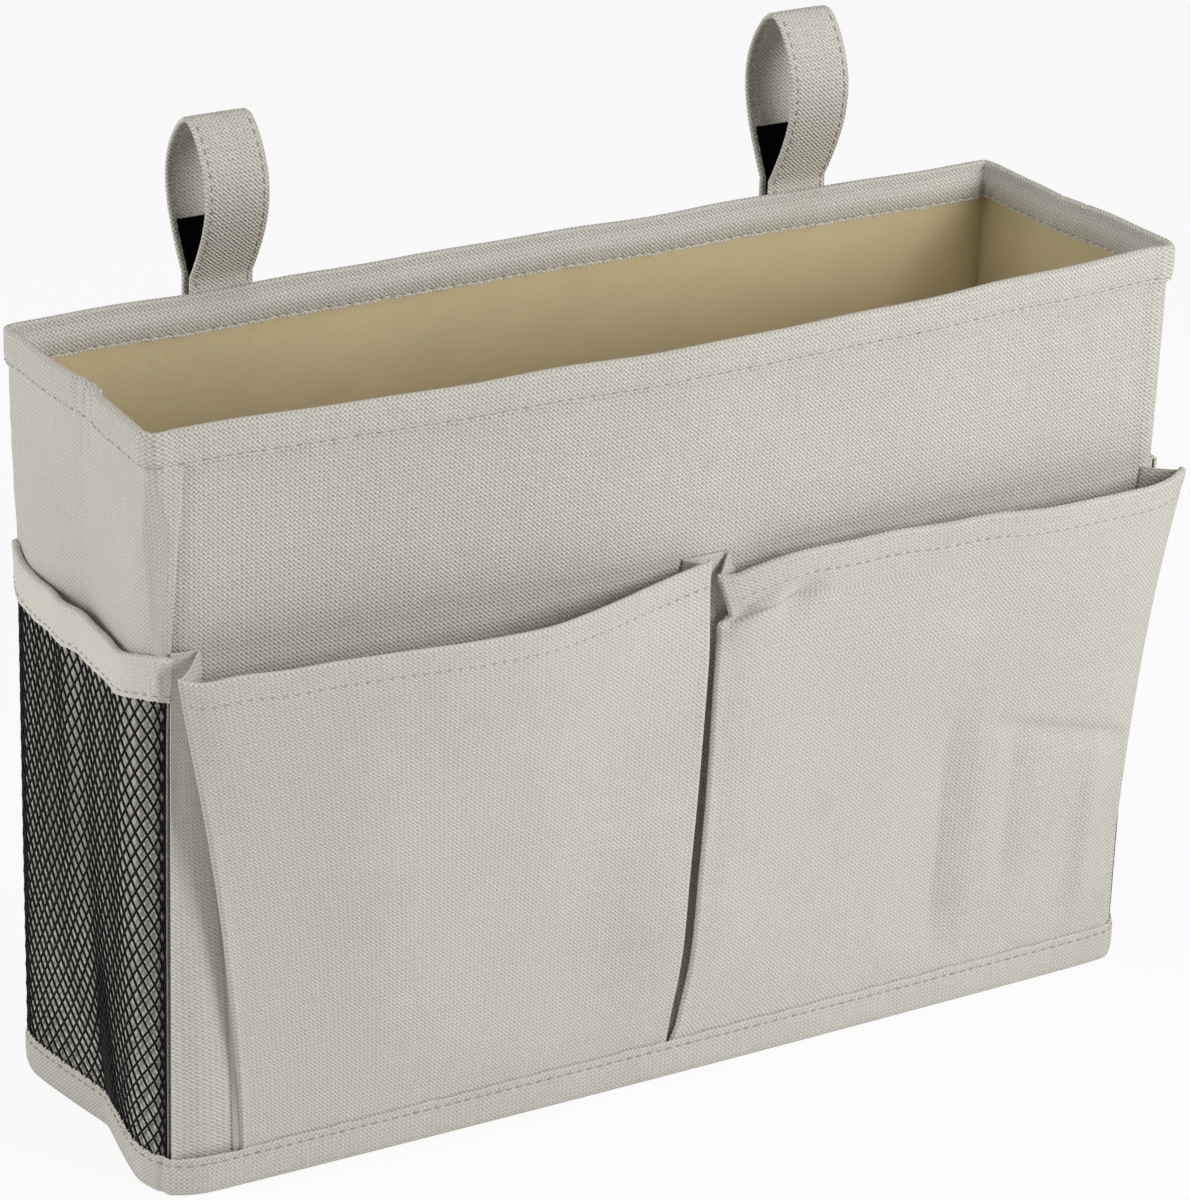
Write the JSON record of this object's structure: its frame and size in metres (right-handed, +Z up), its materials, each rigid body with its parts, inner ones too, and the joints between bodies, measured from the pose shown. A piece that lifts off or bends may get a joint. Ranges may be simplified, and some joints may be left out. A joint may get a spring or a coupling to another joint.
{
  "type": "bedside caddy",
  "caption": "Open fabric caddy with bellows pockets in front, a net pocket on each side and hook-and-loop hanging straps, for hanging on a bed rail or standing on a shelf.",
  "frame": {"origin": "centre of the body's base, on the face that it stands on", "axes": "+X to the right facing the pockets, +Y to the back with the straps, +Z up"},
  "size_m": [0.3486, 0.1391, 0.2855],
  "materials": {
    "outer_cloth": "plain-weave coated polyester cloth, greige, matte",
    "lining_cloth": "coated lining side, straw tan, slight sheen",
    "stiffener_board": "plain board sewn in between cloth and lining",
    "base_board_cover": "loose floor board covered in lining cloth",
    "net_cord": "black knitted diamond net",
    "hook_tape": "black hook tape",
    "loop_tape": "black loop tape, napped"
  },
  "bodies": {
    "body": {"front_panel": "outer_cloth", "back_panel": "outer_cloth", "left_side_panel": "outer_cloth", "right_side_panel": "outer_cloth", "bottom_panel": "outer_cloth", "front_rim_hem": "outer_cloth", "back_rim_hem": "outer_cloth", "left_rim_hem": "outer_cloth", "right_rim_hem": "outer_cloth", "base_binding": "outer_cloth", "left_pocket_outer_gusset": "outer_cloth", "left_pocket_inner_gusset": "outer_cloth", "right_pocket_outer_gusset": "outer_cloth", "right_pocket_inner_gusset": "outer_cloth", "left_net_binding": "outer_cloth", "right_net_binding": "outer_cloth", "left_strap_leaf": "outer_cloth", "right_strap_leaf": "outer_cloth", "front_lining": "lining_cloth", "back_lining": "lining_cloth", "left_side_lining": "lining_cloth", "right_side_lining": "lining_cloth", "front_stiffener": "stiffener_board", "back_stiffener": "stiffener_board", "left_net": "net_cord", "right_net": "net_cord", "left_strap_loop_patch": "loop_tape", "right_strap_loop_patch": "loop_tape"},
    "left_pocket": {"left_pocket_front": "outer_cloth", "left_pocket_hem": "outer_cloth"},
    "right_pocket": {"right_pocket_front": "outer_cloth", "right_pocket_hem": "outer_cloth"},
    "left_flap": {"left_strap_flap": "outer_cloth", "left_strap_hook_patch": "hook_tape"},
    "right_flap": {"right_strap_flap": "outer_cloth", "right_strap_hook_patch": "hook_tape"},
    "floor_board": {"base_board": "base_board_cover"}
  },
  "joints": [
    {"name": "left_pocket_flare", "type": "hinge", "parent": "body", "child": "left_pocket", "pos_m": [-0.068, -0.0493, 0.0123], "axis": [1, 0, 0], "range_deg": [-4, 0], "deforming": ["left_pocket_outer_gusset", "left_pocket_inner_gusset"]},
    {"name": "right_pocket_flare", "type": "hinge", "parent": "body", "child": "right_pocket", "pos_m": [0.083, -0.0493, 0.0123], "axis": [1, 0, 0], "range_deg": [-4, 0], "deforming": ["right_pocket_outer_gusset", "right_pocket_inner_gusset"]},
    {"name": "left_flap_fold", "type": "hinge", "parent": "body", "child": "left_flap", "pos_m": [-0.097, 0.05215, 0.2855], "axis": [1, 0, 0], "range_deg": [0, 150]},
    {"name": "right_flap_fold", "type": "hinge", "parent": "body", "child": "right_flap", "pos_m": [0.097, 0.05215, 0.2855], "axis": [1, 0, 0], "range_deg": [0, 150]},
    {"name": "base_board_lift", "type": "slide", "parent": "body", "child": "floor_board", "axis": [0, 0, 1], "range_m": [0, 0.236]}
  ]
}
